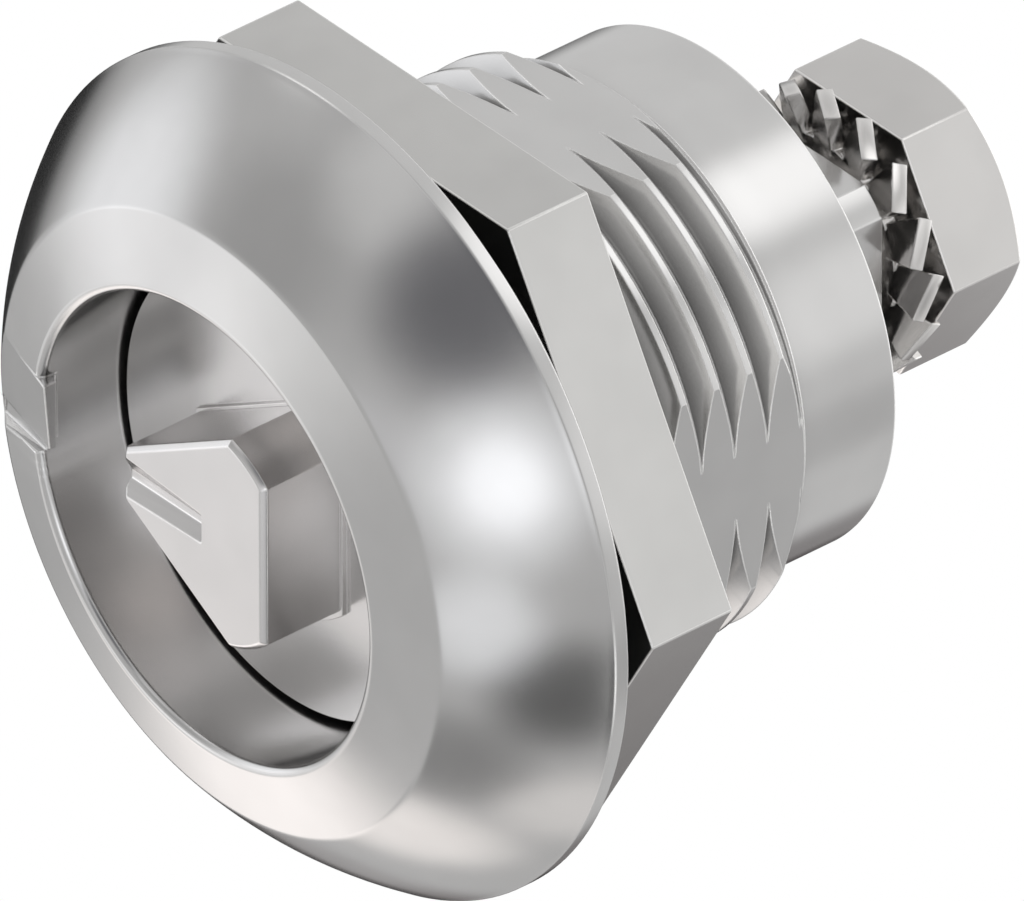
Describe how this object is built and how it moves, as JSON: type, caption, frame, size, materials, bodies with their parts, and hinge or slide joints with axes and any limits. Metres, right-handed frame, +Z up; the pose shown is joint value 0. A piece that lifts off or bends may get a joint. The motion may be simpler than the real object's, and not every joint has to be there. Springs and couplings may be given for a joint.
{
  "type": "compression latch",
  "caption": "Round flanged compression latch with a recessed triangular key, a flat-sided threaded barrel, a hexagon nut and a square shaft end with a washer and bolt for a cam.",
  "frame": {"origin": "centre of the flange's back face, the face that sits on the outside of the panel", "axes": "+Y runs along the barrel into the panel, +Z is up, +X is to the right seen from behind the panel's front, with the flange at the front"},
  "size_m": [0.032, 0.0338, 0.032],
  "materials": {
    "diecast": "satin, fine grain",
    "nut_steel": "turned and ground steel",
    "shaft_steel": "machined steel",
    "washer_steel": "stamped spring steel",
    "bolt_steel": "cold-headed stainless steel",
    "spring_steel": "drawn spring wire and spring-steel rings",
    "black_rubber": "matt black seals"
  },
  "bodies": {
    "housing": {"housing": "diecast", "hex_nut": "nut_steel", "flange_seal": "black_rubber", "rear_bush": "diecast", "rear_ring": "spring_steel", "shaft_seal": "black_rubber"},
    "guide": {"guide_sleeve": "shaft_steel", "thrust_washer": "spring_steel"},
    "driver": {"driver": "diecast", "driver_seal": "black_rubber", "driver_ring": "spring_steel", "spring": "spring_steel"},
    "shaft": {"shaft": "shaft_steel", "cross_pin": "spring_steel", "lock_washer": "washer_steel", "hex_bolt": "bolt_steel"}
  },
  "joints": [
    {"name": "swing", "type": "hinge", "parent": "housing", "child": "guide", "pos_m": [0, 0, 0], "axis": [0, -1, 0], "range_deg": [0, 90]},
    {"name": "key_turn", "type": "hinge", "parent": "guide", "child": "driver", "pos_m": [0, 0, 0], "axis": [0, -1, 0], "range_deg": [0, 90]},
    {"name": "shaft_slide", "type": "slide", "parent": "guide", "child": "shaft", "axis": [0, 1, 0], "range_m": [0, 0.004], "deforming": ["spring"]}
  ],
  "couplings": [
    {"joint": "shaft_slide", "follows": "key_turn", "m_per_rad": 0.002546}
  ]
}
